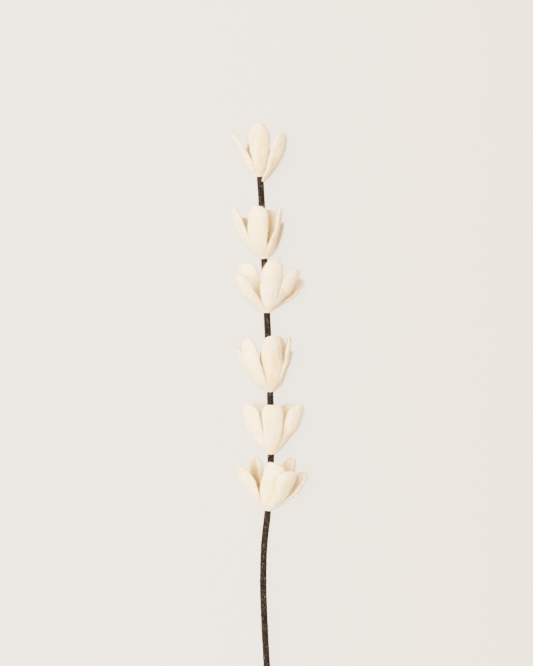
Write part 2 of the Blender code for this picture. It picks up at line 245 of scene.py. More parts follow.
def petal_sections(frame, p, stations, lean_cut=0.0, seam=-OVERLAP):
    """Centre, width direction, outward normal, half width, half thickness and cup radius of each cross-section."""
    foot, along, up, right = frame
    foot = foot - along * p["drop"]
    length = p["length"]
    az = math.radians((p["lo"] + p["hi"]) / 2)
    out_dir = up * math.cos(az) + right * math.sin(az)
    side = -up * math.sin(az) + right * math.cos(az)
    half_sector = math.radians((p["hi"] - p["lo"]) / 2)
    fine = np.linspace(0, 1, 240)
    u = fine * length
    theta = np.radians(eased(u, (0, BOUND_LEN, 7.0, 15.0, length * 1.08),
                             (FOOT_ANGLE, FOOT_ANGLE + 3, p["foot_lean"] - 0.5 * lean_cut, p["lean"] - lean_cut,
                              p["tip_lean"] - 0.8 * lean_cut)))
    phi = np.radians(p["swing"]) * smooth((fine - 0.12) / 0.6)
    tangent = (np.cos(theta) * np.cos(phi))[:, None] * along \
        + (np.sin(theta) * np.cos(phi))[:, None] * out_dir + np.sin(phi)[:, None] * side
    step = length / (len(fine) - 1)
    r0 = STEM_R + FOOT_GAP + FOOT_T / 2
    centre = foot + out_dir * r0 + np.concatenate(
        [np.zeros((1, 3)), np.cumsum((tangent[1:] + tangent[:-1]) / 2, axis=0) * step])
    wide_dir = side - tangent * (tangent @ side)[:, None]
    wide_dir /= np.linalg.norm(wide_dir, axis=1)[:, None]
    normal = np.cross(wide_dir, tangent)
    tw = np.radians(p["twist"]) * smooth((fine - 0.12) / 0.55)
    wide_dir, normal = (wide_dir * np.cos(tw)[:, None] - normal * np.sin(tw)[:, None],
                        normal * np.cos(tw)[:, None] + wide_dir * np.sin(tw)[:, None])
    radius = np.maximum((centre - foot) @ out_dir, 0.5)
    round_foot = radius / np.cos(theta)
    cup = 17.0 + (p["cup"] - 17.0) * smooth((fine - 0.25) / 0.5)
    bend = (round_foot**-5.0 + cup**-5.0) ** -0.2
    half = p["width"] / 2
    w = 3.4 + (half - 3.4) * (1 - np.clip(1 - fine / p["wide"], 0, 1) ** p["waist"])
    w = w * np.clip(1 - np.clip((fine - p["wide"]) / (1 - p["wide"]), 0, 1) ** p["blunt"], 0, 1) ** (1 / p["blunt"])
    # the widest that leaves the neighbouring sector clear
    v = np.linspace(0.05, 14, 200)[None, :]
    b = bend[:, None]
    turn = np.minimum(v / b, 1.5)
    lateral = b * np.sin(turn)
    radial = radius[:, None] - np.cos(theta)[:, None] * b * (1 - np.cos(turn))
    gap = seam * (1 - smooth((u - p["joined"] + 3.0) / 8.0)) / 2
    seen = np.arctan2(lateral, np.maximum(radial, 0.01)) + gap[:, None] / np.maximum(np.hypot(radial, lateral), 0.5)
    limit = np.where((seen > half_sector).any(axis=1), v[0][np.argmax(seen > half_sector, axis=1)], 14.0)
    limit = limit + p["free"] * smooth((fine - 0.22) / 0.3)
    w = (np.maximum(w, 1e-3) ** -16.0 + limit ** -16.0) ** (-1 / 16.0)
    t = FOOT_T + (FELT_T - FOOT_T) * smooth((u + 0.6) / 7.5)
    end = 1 - 3.2 / length
    t = t * np.clip(1 - np.clip((fine - end) / (1 - end), 0, 1) ** 2.4, 0, 1) ** (1 / 2.4)
    at = np.asarray(stations)

    def pick(a):
        if a.ndim == 1:
            return np.interp(at, fine, a)
        return np.stack([np.interp(at, fine, a[:, j]) for j in range(a.shape[1])], axis=1)
    return pick(centre), pick(wide_dir), pick(normal), pick(w), pick(t) / 2, pick(bend)


def station_list(length, n):
    """n places from foot to tip: close together on the bound foot and towards the tip."""
    foot = np.array([0.0, 0.5, 1.0, 1.6, 2.2, 2.9, 3.8, 5.0]) / length
    x = np.linspace(0, 1, n - len(foot) + 1)[1:]
    return np.concatenate([foot, foot[-1] + (1 - foot[-1]) * (0.30 * x + 0.70 * np.sin(x * np.pi / 2))])


# ---- noise ------------------------------------------------------------------
def noise3(points, seed):
    """Smooth gradient noise, about -1 to 1, at each row of an (n, 3) array."""
    p = np.asarray(points, float)
    cell = np.floor(p).astype(np.int64)
    f = p - cell
    w = f ** 3 * (f * (f * 6 - 15) + 10)
    total = np.zeros(len(p))
    for dx in (0, 1):
        for dy in (0, 1):
            for dz in (0, 1):
                h = ((cell[:, 0] + dx) * 73856093) ^ ((cell[:, 1] + dy) * 19349663) ^ ((cell[:, 2] + dz) * 83492791) \
                    ^ (seed * 40503 + 12345)
                h = h & 0xFFFFFFFF
                h = ((h ^ (h >> 15)) * 0x2C1B3C6D) & 0xFFFFFFFF
                h = ((h ^ (h >> 12)) * 0x297A2D39) & 0xFFFFFFFF
                h = h ^ (h >> 15)
                turn = (h & 4095) * (2 * np.pi / 4096)
                z = ((h >> 12) & 4095) / 2048.0 - 1
                r = np.sqrt(np.maximum(0, 1 - z * z))
                d = r * np.cos(turn) * (f[:, 0] - dx) + r * np.sin(turn) * (f[:, 1] - dy) + z * (f[:, 2] - dz)
                total += d * (w[:, 0] if dx else 1 - w[:, 0]) * (w[:, 1] if dy else 1 - w[:, 1]) \
                    * (w[:, 2] if dz else 1 - w[:, 2])
    return total * 1.7


def noise1(x, seed):
    x = np.asarray(x, float)
    return noise3(np.stack([x.ravel(), np.full(x.size, 0.37), np.full(x.size, 0.71)], axis=1), seed).reshape(x.shape)


# ---- meshes -------------------------------------------------------------------
def grid_faces(rows, m):
    """Faces between the rings of a tube whose points go round anticlockwise seen from its start; its ends are left
    open.
    """
    i, j = np.meshgrid(np.arange(rows - 1), np.arange(m), indexing="ij")
    k = (j + 1) % m
    quads = np.stack([i * m + j, (i + 1) * m + j, (i + 1) * m + k, i * m + k], axis=-1).reshape(-1, 4)
    return quads


def add_mesh(name, verts, quads, tris, mats, face_slots=None):
    """A mesh object from points in millimetres. It is made with bulk copies, because these meshes are large."""
    mesh = bpy.data.meshes.new(name)
    nq, nt = len(quads), len(tris)
    loops = np.concatenate([np.asarray(quads, np.int32).ravel(), np.asarray(tris, np.int32).ravel()])
    starts = np.concatenate([np.arange(nq) * 4, nq * 4 + np.arange(nt) * 3]).astype(np.int32)
    mesh.vertices.add(len(verts))
    mesh.vertices.foreach_set("co", (np.asarray(verts, float) * MM).astype(np.float32).ravel())
    mesh.loops.add(len(loops))
    mesh.loops.foreach_set("vertex_index", loops)
    mesh.polygons.add(nq + nt)
    mesh.polygons.foreach_set("loop_start", starts)
    if face_slots is not None:
        mesh.polygons.foreach_set("material_index", np.asarray(face_slots, np.int32))
    mesh.update(calc_edges=True)
    mesh.validate()
    mesh.shade_smooth()
    for m in mats:
        mesh.materials.append(m)
    ob = bpy.data.objects.new(name, mesh)
    bpy.context.scene.collection.objects.link(ob)
    return ob


def attribute(ob, name, values):
    a = ob.data.attributes.new(name, "FLOAT", "POINT")
    a.data.foreach_set("value", np.asarray(values, np.float32))


def lay_out(ob, name, u, v):
    """A UV map from two numbers for each face corner."""
    layer = ob.data.uv_layers.new(name=name)
    layer.data.foreach_set("uv", np.stack([u, v], axis=1).astype(np.float32).ravel())


def grid_normals(p):
    """Outward unit normals of a grid of points, rings along axis 0, wrapped round along axis 1."""
    ds = np.gradient(p, axis=0)
    da = np.roll(p, -1, axis=1) - np.roll(p, 1, axis=1)
    n = np.cross(ds, da)
    return n / np.maximum(np.linalg.norm(n, axis=2), 1e-9)[:, :, None]


# ---- petals -------------------------------------------------------------------
def settled(frame, p):
    """How many degrees a petal on the underside gives way so that it just rests on the surface."""
    def lowest(cut):
        return petal_grid(frame, p, 14, 16, cut, 0)[0][:, :, 2].min()
    if lowest(0.0) >= RESTS_AT:
        return 0.0
    low, high = 0.0, 30.0
    for _ in range(14):
        mid = (low + high) / 2
        low, high = (mid, high) if lowest(mid) < RESTS_AT else (low, mid)
    return high


def petal_grid(frame, p, n_along, n_round, lean_cut, seed):
    """Grid of surface points of a petal, with its stations, its angles round and its half widths."""
    s = station_list(p["length"], n_along + 1)[:-1]
    c, wd, nm, hw, ht, bend = petal_sections(frame, p, s, lean_cut)
    length = p["length"]
    a = np.linspace(0, 2 * np.pi, n_round, endpoint=False)
    ca, sa = np.cos(a), np.sin(a)
    along = s * length
    if seed:
        free = smooth((along - 6.0) / 12.0)
        c = c + nm * (BOW * free * noise1(along / 15.0, seed + 1))[:, None] \
            + wd * (0.55 * BOW * free * noise1(along / 17.0, seed + 2))[:, None]
        shape = free * np.clip((1 - s) / 0.12, 0, 1)
        right = hw + shape * (0.50 * noise1(along / 8.0, seed + 3) + 0.24 * noise1(along / 2.7, seed + 4))
        left = hw + shape * (0.50 * noise1(along / 8.0, seed + 5) + 0.24 * noise1(along / 2.7, seed + 6))
        ht = ht * (1 + 0.10 * free * noise1(along / 9.0, seed + 7))
        bend = bend * (1 + 0.10 * free * noise1(along / 13.0, seed + 8))
    else:
        right = left = hw
    width = np.where(ca[None, :] > 0, right[:, None], left[:, None])
    v = width * (np.sign(ca) * np.abs(ca) ** 0.86)[None, :]
    n = ht[:, None] * (np.sign(sa) * np.abs(sa) ** 0.72)[None, :]
    # felt is a little thicker and rounder along its cut edge, and hollow down the middle of its inner face
    rim = np.abs(v) / np.maximum(width, 0.1)
    body = smooth((along - 8.0) / 14.0)[:, None]
    n = n * (1 + 0.10 * body * smooth((rim - 0.45) / 0.4))
    ang = v / bend[:, None]
    lateral = bend[:, None] * np.sin(ang)
    inward = bend[:, None] * (1 - np.cos(ang))
    pts = (c[:, None, :] + wd[:, None, :] * (lateral + n * np.sin(ang))[:, :, None]
           + nm[:, None, :] * (-inward + n * np.cos(ang))[:, :, None])
    return pts, s, a, v, hw


def felt_petal(number, frame, p, seed, lean_cut, mats):
    """One petal as a thick, soft piece of wool felt. Returns its object and its grid, for the stray fibres."""
    rows, m = PETAL_ROWS, PETAL_SIDES
    pts, s, a, v, hw = petal_grid(frame, p, rows, m, lean_cut, seed)
    length = p["length"]
    along = (s * length)[:, None] + 0 * v
    normal = grid_normals(pts)
    flat = pts.reshape(-1, 3)
    # lumps of the fulled wool, pinched folds that run up from the foot, and fine lengthwise wrinkles
    swell = noise3(flat / 6.4, seed + 10)
    pills = noise3(flat / 2.7, seed + 11)
    lumps = 0.20 * swell + 0.20 * pills + 0.10 * noise3(flat / 1.4, seed + 12)
    cross = np.stack([v.ravel(), along.ravel(), np.full(v.size, 0.5)], axis=1)
    outside = (np.sin(a) > 0)[None, :] + 0 * v
    wander = 0.8 * noise1(along.ravel() / 9.0, seed + 13)
    folds = noise3(np.stack([(cross[:, 0] + wander) / 2.1, cross[:, 1] / 17.0, outside.ravel() * 7.3], axis=1), seed + 14)
    fine = noise3(np.stack([(cross[:, 0] + wander) / 0.8, cross[:, 1] / 8.0, outside.ravel() * 5.1], axis=1), seed + 15)
    low = (smooth((along - 2.5) / 3.0) * (1 - 0.65 * smooth((along - 12.0) / 22.0))).ravel()
    wrinkle = 0.26 * low * folds + (0.04 + 0.06 * low) * fine
    fade = smooth((along.ravel() - 1.8) / 3.0)
    shift = fade * (lumps + wrinkle)
    # painted shade: golden darkening in the dips of the folds, wrinkles and lumps, and in lengthwise streaks
    streak_shade = noise3(np.stack([(cross[:, 0] + wander) / 1.6, cross[:, 1] / 20.0, outside.ravel() * 3.1], axis=1), seed + 16)
    middle = (smooth((along - 5.0) / 8.0) * smooth((0.86 * length - along) / 8.0)).ravel()
    crease_shade = fade * (np.clip(0.10 - (0.9 * low * folds + 0.45 * low * fine + 0.35 * swell + 0.6 * pills), 0, 1)
                     + p["streak_shade"] * middle * smooth((streak_shade + 0.15) / 0.5))
    crease_shade = np.clip(crease_shade, 0, 1.3)
    flat = flat + normal.reshape(-1, 3) * shift[:, None]
    flat[:, 2] = np.maximum(flat[:, 2], FLOOR_CLEAR)
    pts = flat.reshape(rows, m, 3)
    tip_section = petal_sections(frame, p, np.array([1.0]), lean_cut)[0][0]
    tip = pts[-1].mean(axis=0) * 0.35 + (tip_section + (pts[-1].mean(axis=0) - petal_grid(frame, p, rows, m, lean_cut, 0)[0][-1].mean(axis=0))) * 0.65
    tip[2] = max(tip[2], FLOOR_CLEAR)
    verts = np.vstack([flat, pts[0].mean(axis=0)[None], tip[None]])
    j = np.arange(m)
    k = (j + 1) % m
    tris = np.vstack([np.stack([np.full(m, rows * m), j, k], axis=1),
                      np.stack([np.full(m, rows * m + 1), (rows - 1) * m + k, (rows - 1) * m + j], axis=1)])
    quads = grid_faces(rows, m)
    ob = add_mesh("blossom_%d_felt_%s" % (number, p["name"]), verts, quads, tris, mats)
    # painted shade on the inner face: golden and darker the deeper a point lies towards the throat of the blossom, and
    # on one half of the face only where the petal says so
    inner = np.clip(-np.sin(a), 0, 1)[None, :] ** 0.5 + 0 * v
    depth = np.clip(1.0 + p["deep"] - along / (0.62 * length), 0, 1)
    half = smooth(0.5 + p["dark"] * (1.6 * v / np.maximum(hw[:, None], 0.5) + 0.3 * abs(p["dark"]))) if p["dark"] else 1.0
    throat_shade = (inner * half * smooth(depth * 1.25)).ravel()
    attribute(ob, "throat_shade", np.concatenate([throat_shade, [0.5, 0.0]]))
    attribute(ob, "crease_shade", np.concatenate([crease_shade, [0.0, 0.0]]))
    cross_place = np.abs(v) / np.maximum(hw[:, None], 0.5)
    attribute(ob, "rim", np.concatenate([(smooth((cross_place - 0.62) / 0.35)).ravel(), [0.5, 1.0]]))
    attribute(ob, "up_petal", np.concatenate([(along / length).ravel(), [0.0, 1.0]]))
    rng = np.random.default_rng(seed)
    tone = rng.uniform(-1, 1)
    attribute(ob, "tone", np.full(len(verts), tone if p["tone"] is None else p["tone"]))
    # the petal's own map: round it one way, along it the other
    uu = np.zeros(len(quads) * 4 + len(tris) * 3)
    vv = np.zeros_like(uu)
    row, col = np.divmod(quads, m)
    wrap = (col[:, [2]] == 0) & (np.array([[False, False, True, True]]))
    uu[:len(quads) * 4] = (np.where(wrap, m, col) / m * 0.98 + 0.01).ravel()
    vv[:len(quads) * 4] = (s[row] * 0.96 + 0.02).ravel()
    q = len(quads) * 4
    for t in range(m):
        lo_, hi_ = t / m * 0.98 + 0.01, (t + 1) / m * 0.98 + 0.01
        uu[q + 3 * t:q + 3 * t + 3] = ((lo_ + hi_) / 2, lo_, hi_)
        vv[q + 3 * t:q + 3 * t + 3] = (0.002, 0.02, 0.02)
        r = q + 3 * m + 3 * t
        uu[r:r + 3] = ((lo_ + hi_) / 2, hi_, lo_)
        vv[r:r + 3] = (0.998, s[-1] * 0.96 + 0.02, s[-1] * 0.96 + 0.02)
    lay_out(ob, "OFBake", uu, vv)
    return ob, pts


def sample_grid(pts, rng, count):
    """Random places on a closed grid, thicker along its cut edge and tip, and the normals there."""
    nxt = np.roll(pts, -1, axis=1)
    area = np.linalg.norm(np.cross(pts[1:] - pts[:-1], nxt[:-1] - pts[:-1]), axis=2).ravel()
    rows, m = pts.shape[0] - 1, pts.shape[1]
    edge = smooth((np.abs(np.cos(np.arange(m) * 2 * np.pi / m)) - 0.55) / 0.35)[None, :]
    tip = smooth((np.arange(rows) / rows - 0.88) / 0.1)[:, None]
    area = area * (1 + 4.0 * np.maximum(edge, tip)).ravel()
    pick = rng.choice(area.size, size=count, p=area / area.sum())
    i, j = np.divmod(pick, m)
    k = (j + 1) % pts.shape[1]
    u, v = rng.random(count)[:, None], rng.random(count)[:, None]
    place = (pts[i, j] * (1 - v) + pts[i, k] * v) * (1 - u) + (pts[i + 1, j] * (1 - v) + pts[i + 1, k] * v) * u
    n = grid_normals(pts)
    return place, n[i, j]


def fibres(name, roots, normals, rng, shortest, longest, thick, mats, lie, rise, seg):
    """Stray fibres: thin closed hairs that leave the surface at a slant, curl over and end in a point."""
    count = len(roots)
    rand = rng.normal(size=(count, 3))
    tang = rand - normals * (rand * normals).sum(1)[:, None]
    tang /= np.maximum(np.linalg.norm(tang, axis=1), 1e-6)[:, None]
    side = np.cross(normals, tang)
    flat = rng.uniform(lie[0], lie[1], count)[:, None] * (np.pi / 2) * 0.97
    d0 = normals * np.cos(flat) + tang * np.sin(flat)
    d1 = tang * 1.0 + normals * rng.uniform(rise[0], rise[1], count)[:, None] + side * rng.uniform(-1.1, 1.1, count)[:, None]
    d1 /= np.linalg.norm(d1, axis=1)[:, None]
    curl = rng.normal(size=(count, 3)) * 0.45
    size = (shortest + (longest - shortest) * rng.random(count) ** 1.8)[:, None]
    t = np.linspace(0, 1, seg + 1)
    path = roots[:, None, :] - normals[:, None, :] * 0.12 + size[:, None, :] * (
        d0[:, None, :] * t[None, :, None] + (d1 - d0)[:, None, :] * (t ** 2 / 2)[None, :, None]
        + curl[:, None, :] * (t ** 3 / 3)[None, :, None])
    path[:, :, 2] = np.maximum(path[:, :, 2], 0.05)
    tangent = np.gradient(path, axis=1)
    tangent /= np.maximum(np.linalg.norm(tangent, axis=2), 1e-9)[:, :, None]
    across = np.cross(tangent, side[:, None, :] + 0.01)
    across /= np.maximum(np.linalg.norm(across, axis=2), 1e-9)[:, :, None]
    third = np.cross(tangent, across)
    r = (thick * rng.uniform(0.7, 1.2, count) / 2)[:, None] * (1 - 0.6 * t[:-1] ** 2)[None, :]
    ang = np.arange(3) * 2 * np.pi / 3
    rings = path[:, :-1, None, :] + r[:, :, None, None] * (across[:, :-1, None, :] * np.cos(ang)[None, None, :, None]
                                                           + third[:, :-1, None, :] * np.sin(ang)[None, None, :, None])
    v = np.concatenate([rings.reshape(count, -1, 3), path[:, -1:, :]], axis=1)
    turn = [(j, (j + 1) % 3) for j in range(3)]
    one = [(i * 3 + j, i * 3 + k, i * 3 + 3 + k, i * 3 + 3 + j) for i in range(seg - 1) for j, k in turn]
    ends = [(0, 2, 1)] + [(seg * 3 - 3 + j, seg * 3 - 3 + k, seg * 3) for j, k in turn]
    base = np.arange(count) * (seg * 3 + 1)
    quads = (np.array(one, int).reshape(-1, 4)[None] + base[:, None, None]).reshape(-1, 4)
    tris = (np.array(ends)[None] + base[:, None, None]).reshape(-1, 3)
    which = rng.integers(0, len(mats), count)
    slots = np.concatenate([np.repeat(which, len(one)), np.repeat(which, len(ends))])
    return add_mesh(name, v.reshape(-1, 3), quads, tris, mats, slots)


# ---- stem, yarn and wire --------------------------------------------------------
def line_frames(points):
    """Unit vectors along, to the side of and above a gently curved line."""
    along = np.gradient(points, axis=0)
    along /= np.linalg.norm(along, axis=1)[:, None]
    side = np.cross(along, [0.0, 0.0, 1.0])
    side /= np.linalg.norm(side, axis=1)[:, None]
    return along, side, np.cross(side, along)


def tube_mesh(name, centre, radius, hint, sides, mats, ends=0.6):
    """A closed tube round a curve. radius has one number a point; hint is a direction across the curve at each point."""
    tangent = np.gradient(centre, axis=0)
    tangent /= np.linalg.norm(tangent, axis=1)[:, None]
    x = hint - tangent * (hint * tangent).sum(1)[:, None]
    x /= np.linalg.norm(x, axis=1)[:, None]
    y = np.cross(tangent, x)
    ang = np.arange(sides) * 2 * np.pi / sides
    r = np.asarray(radius, float) * np.ones(len(centre))
    v = centre[:, None, :] + r[:, None, None] * (x[:, None, :] * np.cos(ang)[None, :, None]
                                                 + y[:, None, :] * np.sin(ang)[None, :, None])
    n, m = len(centre), sides
    i, j = np.meshgrid(np.arange(n - 1), np.arange(m), indexing="ij")
    k = (j + 1) % m
    quads = np.stack([i * m + j, i * m + k, (i + 1) * m + k, (i + 1) * m + j], axis=-1).reshape(-1, 4)
    head = centre[0] - tangent[0] * r[0] * ends
    tail = centre[-1] + tangent[-1] * r[-1] * ends
    verts = np.vstack([v.reshape(-1, 3), head[None], tail[None]])
    jj = np.arange(m)
    kk = (jj + 1) % m
    tris = np.vstack([np.stack([np.full(m, n * m), kk, jj], axis=1),
                      np.stack([np.full(m, n * m + 1), (n - 1) * m + jj, (n - 1) * m + kk], axis=1)])
    verts[:, 2] = np.maximum(verts[:, 2], FLOOR_CLEAR)
    ob = add_mesh(name, verts, quads, tris, mats)
    # along the thread and round it, in millimetres, for its twist
    run = np.concatenate([[0], np.cumsum(np.linalg.norm(np.diff(centre, axis=0), axis=1))])
    attribute(ob, "run", np.concatenate([np.repeat(run, m), [0.0, run[-1]]]))
    row, col = np.divmod(quads, m)
    wrap = (col == 0) & np.array([[False, True, True, False]])
    uu = np.concatenate([run[row].ravel(), np.tile([run[0]] * 3, m), np.tile([run[-1]] * 3, m)])
    vv = np.concatenate([(np.where(wrap, m, col) / m).ravel(), np.tile([0.5, 0.5, 0.5], m), np.tile([0.5, 0.5, 0.5], m)])
    lay_out(ob, "twist", uu, vv)
    return ob, v


def yarn_winding(mats):
    """Fine brown yarn wound close round the wire, turn against turn, from the tip of the spray to its cut end."""
    line = stem_points(3000)
    run = np.concatenate([[0], np.cumsum(np.linalg.norm(np.diff(line, axis=0), axis=1))])
    length = run[-1]
    turns = int((length - 2 * YARN_R) / YARN_PITCH)
    n = turns * YARN_STEPS + 1
    t = np.linspace(0, turns, n)
    pace = YARN_R + t / turns * (length - 2 * YARN_R)
    pace = pace + 0.20 * noise1(t / 2.7, 901) * smooth(np.minimum(t, turns - t) / 6)
    along, side, up = line_frames(line)

    def at(a):
        return np.stack([np.interp(pace, run, a[:, q]) for q in range(3)], axis=1)
    c, sd, uv = at(line), at(side), at(up)
    angle = t * 2 * np.pi
    radial = sd * np.cos(angle)[:, None] + uv * np.sin(angle)[:, None]
    r_yarn = YARN_R * (1 + 0.13 * noise1(t * 2.3, 902) + 0.12 * noise1(t / 2.9, 903))
    out = STEM_R - YARN_R + 0.08 * noise1(t / 1.7, 904) + 0.08 * noise1(t * 1.3, 905)
    centre = c + radial * out[:, None]
    ob, grid = tube_mesh("yarn_winding", centre, r_yarn, radial, YARN_SIDES, mats)
    shade = 0.5 + 0.5 * noise1(t / 1.9, 906) + 0.4 * noise1(t * 1.6, 907)
    shade = np.clip(shade, 0, 1)
    attribute(ob, "shade", np.concatenate([np.repeat(shade, YARN_SIDES), [shade[0], shade[-1]]]))
    return ob, grid


def wire(mat):
    line = stem_points(240)
    line[0] = line[0] + unit(line[1] - line[0]) * 0.8
    tail = unit(line[-1] - line[-2])
    line[-1] = line[-1] + tail * (WIRE_PROUD - 0.12)
    line = np.vstack([line, line[-1] + tail * 0.12])
    radius = np.full(len(line), WIRE_R)
    radius[-1] = WIRE_R - 0.12
    _, side, _ = line_frames(line)
    return tube_mesh("wire_core", line, radius, side, 24, [mat], ends=0.02)[0]



# ---- materials ----------------------------------------------------------------
class Nodes:
    """A short way to write a node material."""

    def __init__(self, name):
        self.material = bpy.data.materials.new(name)
        self.material.use_nodes = True
        self.tree = self.material.node_tree
        self.shader = self.tree.nodes["Principled BSDF"]

    def add(self, kind, **settings):
        node = self.tree.nodes.new(kind)
        for key, value in settings.items():
            setattr(node, key, value)
        return node

    def put(self, value, socket):
        if isinstance(value, bpy.types.NodeSocket):
            self.tree.links.new(value, socket)
        else:
            socket.default_value = value

    def math(self, operation, a, b=None, c=None, clamp=False):
        node = self.add("ShaderNodeMath", operation=operation, use_clamp=clamp)
        for socket, value in zip(node.inputs, (a, b, c)):
            if value is not None:
                self.put(value, socket)
        return node.outputs[0]

    def place(self):
        return self.add("ShaderNodeTexCoord").outputs["Object"]

    def stretched(self, turn, scale):
        node = self.add("ShaderNodeMapping")
        self.tree.links.new(self.place(), node.inputs["Vector"])
        node.inputs["Rotation"].default_value = tuple(math.radians(x) for x in turn)
        node.inputs["Scale"].default_value = scale
        return node.outputs[0]

    def noise(self, vector, scale, detail=3.0, rough=0.55, distortion=0.0):
        node = self.add("ShaderNodeTexNoise")
        self.tree.links.new(vector, node.inputs["Vector"])
        node.inputs["Scale"].default_value = scale
        node.inputs["Detail"].default_value = detail
        node.inputs["Roughness"].default_value = rough
        node.inputs["Distortion"].default_value = distortion
        return node.outputs["Fac"]

    def ramp(self, value, low, high):
        node = self.add("ShaderNodeMapRange", interpolation_type="SMOOTHSTEP")
        self.put(value, node.inputs["Value"])
        node.inputs["From Min"].default_value = low
        node.inputs["From Max"].default_value = high
        return node.outputs["Result"]

    def mix(self, factor, a, b, blend="MIX"):
        node = self.add("ShaderNodeMix", data_type="RGBA", blend_type=blend)
        self.put(factor, node.inputs["Factor"])
        self.put((*a, 1.0) if isinstance(a, tuple) else a, node.inputs[6])
        self.put((*b, 1.0) if isinstance(b, tuple) else b, node.inputs[7])
        return node.outputs[2]

    def value(self, name):
        return self.add("ShaderNodeAttribute", attribute_name=name).outputs["Fac"]

    def bump(self, height, distance, strength, below=None):
        node = self.add("ShaderNodeBump")
        node.inputs["Strength"].default_value = strength
        node.inputs["Distance"].default_value = distance
        self.put(height, node.inputs["Height"])
        if below is not None:
            self.tree.links.new(below, node.inputs["Normal"])
        return node.outputs[0]

    def finish(self, colour=None, normal=None, rough=None, **plain):
        for value, key in ((colour, "Base Color"), (normal, "Normal"), (rough, "Roughness")):
            if value is not None:
                self.put((*value, 1.0) if isinstance(value, tuple) and len(value) == 3 else value, self.shader.inputs[key])
        for key, value in plain.items():
            self.shader.inputs[key.replace("_", " ")].default_value = value
        return self.material


def felt_material():
    n = Nodes("cream_wool_felt")
    at = n.place()
    cloud = n.noise(at, 240.0, 3.0, 0.6)
    grain = n.noise(at, 1150.0, 4.0, 0.65, 0.6)
    # three layers of fibres, laid in different directions
    one = n.noise(n.stretched((0, 0, 24), (1.0, 0.16, 1.0)), 3300.0, 2.0, 0.5, 0.35)
    two = n.noise(n.stretched((0, 0, -38), (1.0, 0.16, 1.0)), 3000.0, 2.0, 0.5, 0.35)
    three = n.noise(n.stretched((35, 0, 84), (1.0, 0.20, 1.0)), 2700.0, 2.0, 0.5, 0.35)
    laid = n.math("MAXIMUM", n.math("MAXIMUM", one, two), three)
    colour = n.mix(n.ramp(cloud, 0.36, 0.66), FELT_DEEP, FELT_PALE)
    colour = n.mix(n.math("MULTIPLY", n.ramp(grain, 0.52, 0.32), 0.55), colour, FELT_WARM)
    colour = n.mix(n.math("MULTIPLY", n.ramp(laid, 0.58, 0.72), 0.60), colour, FELT_FIBRE)
    colour = n.mix(n.math("MULTIPLY_ADD", n.value("tone"), 0.12, 0.12), colour, FELT_WARM)
    # painted shade in the creases, folds and lengthwise streaks
    colour = n.mix(n.math("MULTIPLY", n.value("crease_shade"), CREASE_SHADE_SHARE), colour, FELT_CREASE_SHADE)
    # painted shade on the inner faces, down in the throat
    colour = n.mix(n.math("MULTIPLY", n.value("throat_shade"), THROAT_SHADE_SHARE), colour, FELT_THROAT_SHADE)
    height = n.math("ADD", n.math("MULTIPLY", laid, 0.75), n.math("MULTIPLY", grain, 0.55))
    normal = n.bump(height, 0.00045, 0.85)
    normal = n.bump(cloud, 0.0010, 0.45, normal)
    return n.finish(colour, normal, n.math("MULTIPLY_ADD", grain, 0.10, 0.86),
                    Sheen_Weight=0.30, Sheen_Roughness=0.55, Sheen_Tint=(1.0, 0.96, 0.90, 1.0), Specular_IOR_Level=0.12,
                    Subsurface_Weight=0.22, Subsurface_Radius=(1.0, 0.62, 0.36), Subsurface_Scale=0.0016)


def fibre_material(name, colour):
    n = Nodes(name)
    return n.finish(colour, None, 0.85, Specular_IOR_Level=0.2, Sheen_Weight=0.2)


def twisted(name, dark, light, speck_highlight, pitch, height, rough, speck_from):
    """Twisted yarn or thread: two plies that turn round each other, with loose fibres over them, painted darker in the
    grooves between the plies and with light specks painted as highlights of the fibres' sheen.
    """
    n = Nodes(name)
    at = n.place()
    parts = n.add("ShaderNodeSeparateXYZ")
    n.tree.links.new(n.add("ShaderNodeUVMap", uv_map="twist").outputs[0], parts.inputs[0])
    turn = n.math("ADD", n.math("MULTIPLY", parts.outputs[1], 2.0), n.math("DIVIDE", parts.outputs[0], pitch))
    ply = n.math("MULTIPLY_ADD", n.math("SINE", n.math("MULTIPLY", turn, 2 * math.pi)), 0.5, 0.5)
    hairs = n.noise(n.stretched((0, 0, 62), (1.0, 0.15, 1.0)), 6000.0, 2.0, 0.5, 0.4)
    spots = n.noise(at, 1050.0, 3.0, 0.6)
    patches = n.noise(at, 95.0, 2.0, 0.5)
    # painted shade: darker in the grooves between the plies, lighter on their crowns
    colour = n.mix(n.math("MULTIPLY", ply, 0.75), dark, light)
    colour = n.mix(n.math("MULTIPLY", n.ramp(patches, 0.35, 0.7), 0.20), colour, light)
    colour = n.mix(n.math("MULTIPLY", n.math("SUBTRACT", 1.0, n.value("shade")), 0.7), colour, dark)
    # painted highlights: light specks for the sheen on the fibres
    colour = n.mix(n.math("MULTIPLY", n.ramp(spots, speck_from, speck_from + 0.12), 0.8), colour, speck_highlight)
    bumps = n.math("ADD", n.math("MULTIPLY", ply, 0.7), n.math("MULTIPLY", hairs, 0.6))
    normal = n.bump(bumps, height, 0.7)
    return n.finish(colour, normal, n.math("MULTIPLY_ADD", spots, 0.12, rough),
                    Sheen_Weight=0.18, Sheen_Roughness=0.5, Sheen_Tint=(*light, 1.0), Specular_IOR_Level=0.2)


def steel_material():
    n = Nodes("drawn_steel")
    lines = n.noise(n.stretched((0, 0, 0), (1.0, 0.012, 1.0)), 9000.0, 3.0, 0.6)
    stain = n.noise(n.place(), 700.0, 3.0, 0.6)
    colour = n.mix(n.ramp(stain, 0.45, 0.7), (0.50, 0.49, 0.47), (0.34, 0.31, 0.28))
    return n.finish(colour, n.bump(lines, 0.00002, 0.5), n.math("MULTIPLY_ADD", stain, 0.22, 0.24), Metallic=1.0)


